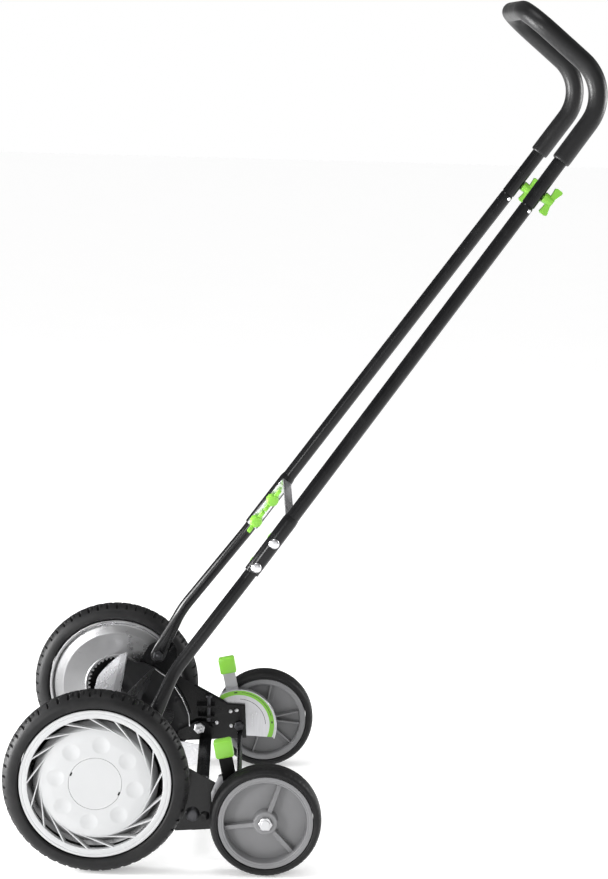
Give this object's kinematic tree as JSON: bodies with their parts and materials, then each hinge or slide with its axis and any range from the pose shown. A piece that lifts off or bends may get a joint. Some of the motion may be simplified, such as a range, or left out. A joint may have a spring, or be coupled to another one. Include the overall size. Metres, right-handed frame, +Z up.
{
  "type": "reel mower",
  "caption": "Push reel mower with a helical reel between two driven wheels, two trailing wheels on height levers, and a long two-tube handle ending in a padded loop.",
  "frame": {"origin": "on the floor, under the middle of the whole mower's bounding box", "axes": "+X forward in the mowing direction, +Y to the mower's left, +Z up"},
  "size_m": [0.7962, 0.547, 1.184],
  "materials": {
    "black_paint": "gloss",
    "dark_paint": "satin",
    "zinc_plate": "satin",
    "bare_steel": "satin",
    "reel_steel": "satin",
    "cast_wheel": "satin",
    "tyre_rubber": "matte",
    "white_plastic": "satin",
    "grey_plastic": "matte",
    "green_plastic": "satin",
    "foam": "matte",
    "bearing_brass": "satin"
  },
  "bodies": {
    "chassis": {"left_side_plate": "dark_paint", "left_rear_arm": "black_paint", "left_quadrant": "zinc_plate", "left_main_axle": "zinc_plate", "left_cutter_pivot_bolt": "zinc_plate", "left_lever_pivot_bolt": "zinc_plate", "left_handle_pivot_bolt": "zinc_plate", "left_adjusting_screw": "zinc_plate", "left_reel_bearing": "bearing_brass", "right_side_plate": "dark_paint", "right_rear_arm": "black_paint", "right_quadrant": "zinc_plate", "right_main_axle": "zinc_plate", "right_cutter_pivot_bolt": "zinc_plate", "right_lever_pivot_bolt": "zinc_plate", "right_handle_pivot_bolt": "zinc_plate", "right_adjusting_screw": "zinc_plate", "right_reel_bearing": "bearing_brass", "top_tie_bar": "zinc_plate", "cutter_bar": "black_paint", "bed_knife": "bare_steel", "rear_tie_bar": "black_paint", "rear_tie_rod": "black_paint"},
    "left_driven_wheel": {"left_tyre": "tyre_rubber", "left_wheel": "cast_wheel", "left_hubcap": "white_plastic"},
    "right_driven_wheel": {"right_tyre": "tyre_rubber", "right_wheel": "cast_wheel", "right_hubcap": "white_plastic"},
    "reel": {"reel_shaft": "bare_steel", "reel_cylinder": "reel_steel", "left_pawl": "bare_steel", "right_pawl": "bare_steel"},
    "left_drive_pinion": {"left_pinion": "bare_steel"},
    "right_drive_pinion": {"right_pinion": "bare_steel"},
    "left_lever": {"left_height_lever": "zinc_plate", "left_lever_knob": "green_plastic"},
    "left_trailing_wheel": {"left_rear_tyre": "tyre_rubber", "left_rear_wheel": "grey_plastic"},
    "right_lever": {"right_height_lever": "zinc_plate", "right_lever_knob": "green_plastic"},
    "right_trailing_wheel": {"right_rear_tyre": "tyre_rubber", "right_rear_wheel": "grey_plastic"},
    "handle": {"left_lower_tube": "black_paint", "left_middle_tube": "black_paint", "left_lower_bolt": "zinc_plate", "left_middle_bolt": "zinc_plate", "right_lower_tube": "black_paint", "right_middle_tube": "black_paint", "right_lower_bolt": "zinc_plate", "right_middle_bolt": "zinc_plate", "upper_handle": "black_paint", "foam_grip": "foam", "handle_brace": "zinc_plate"},
    "left_lower_nut": {"left_lower_wing_nut": "green_plastic"},
    "left_middle_nut": {"left_middle_wing_nut": "green_plastic"},
    "left_wing_screw": {"left_upper_wing_screw": "green_plastic"},
    "right_lower_nut": {"right_lower_wing_nut": "green_plastic"},
    "right_middle_nut": {"right_middle_wing_nut": "green_plastic"},
    "right_wing_screw": {"right_upper_wing_screw": "green_plastic"}
  },
  "joints": [
    {"name": "left_wheel_spin", "type": "hinge", "parent": "chassis", "child": "left_driven_wheel", "pos_m": [0.2711, 0.25, 0.127], "axis": [0, 1, 0], "continuous": true},
    {"name": "right_wheel_spin", "type": "hinge", "parent": "chassis", "child": "right_driven_wheel", "pos_m": [0.2711, -0.25, 0.127], "axis": [0, 1, 0], "continuous": true},
    {"name": "reel_spin", "type": "hinge", "parent": "chassis", "child": "reel", "pos_m": [0.24407, 0, 0.10807], "axis": [0, 1, 0], "continuous": true},
    {"name": "left_pinion_spin", "type": "hinge", "parent": "chassis", "child": "left_drive_pinion", "pos_m": [0.24407, 0.23, 0.10807], "axis": [0, 1, 0], "continuous": true},
    {"name": "right_pinion_spin", "type": "hinge", "parent": "chassis", "child": "right_drive_pinion", "pos_m": [0.24407, -0.23, 0.10807], "axis": [0, 1, 0], "continuous": true},
    {"name": "left_lever_swing", "type": "hinge", "parent": "chassis", "child": "left_lever", "pos_m": [0.0791, 0.22, 0.072], "axis": [0, 1, 0], "range_deg": [-75, 0]},
    {"name": "left_rear_wheel_spin", "type": "hinge", "parent": "left_lever", "child": "left_trailing_wheel", "pos_m": [0.0401, 0.25, 0.0762], "axis": [0, 1, 0], "continuous": true},
    {"name": "right_lever_swing", "type": "hinge", "parent": "chassis", "child": "right_lever", "pos_m": [0.0791, -0.22, 0.072], "axis": [0, 1, 0], "range_deg": [-75, 0]},
    {"name": "right_rear_wheel_spin", "type": "hinge", "parent": "right_lever", "child": "right_trailing_wheel", "pos_m": [0.0401, -0.25, 0.0762], "axis": [0, 1, 0], "continuous": true},
    {"name": "handle_swing", "type": "hinge", "parent": "chassis", "child": "handle", "pos_m": [0.2061, 0, 0.182], "axis": [0, 1, 0], "range_deg": [0, 90]},
    {"name": "left_lower_nut_turn", "type": "hinge", "parent": "handle", "child": "left_lower_nut", "pos_m": [0.06073, 0.16297, 0.40945], "axis": [0, -1, 0], "range_deg": [0, 720]},
    {"name": "left_middle_nut_turn", "type": "hinge", "parent": "handle", "child": "left_middle_nut", "pos_m": [0.037, 0.16062, 0.44279], "axis": [0, -1, 0], "range_deg": [0, 720]},
    {"name": "left_wing_screw_turn", "type": "hinge", "parent": "handle", "child": "left_wing_screw", "pos_m": [-0.30835, 0.12647, 0.92799], "axis": [-0.8147, 0, -0.5799], "range_deg": [0, 720]},
    {"name": "right_lower_nut_turn", "type": "hinge", "parent": "handle", "child": "right_lower_nut", "pos_m": [0.06073, -0.16297, 0.40945], "axis": [0, 1, 0], "range_deg": [0, 720]},
    {"name": "right_middle_nut_turn", "type": "hinge", "parent": "handle", "child": "right_middle_nut", "pos_m": [0.037, -0.16062, 0.44279], "axis": [0, 1, 0], "range_deg": [0, 720]},
    {"name": "right_wing_screw_turn", "type": "hinge", "parent": "handle", "child": "right_wing_screw", "pos_m": [-0.30835, -0.12647, 0.92799], "axis": [-0.8147, 0, -0.5799], "range_deg": [0, 720]}
  ],
  "couplings": [
    {"joint": "reel_spin", "follows": "left_wheel_spin", "ratio": 4.75},
    {"joint": "left_pinion_spin", "follows": "left_wheel_spin", "ratio": 4.75},
    {"joint": "right_pinion_spin", "follows": "right_wheel_spin", "ratio": 4.75}
  ]
}
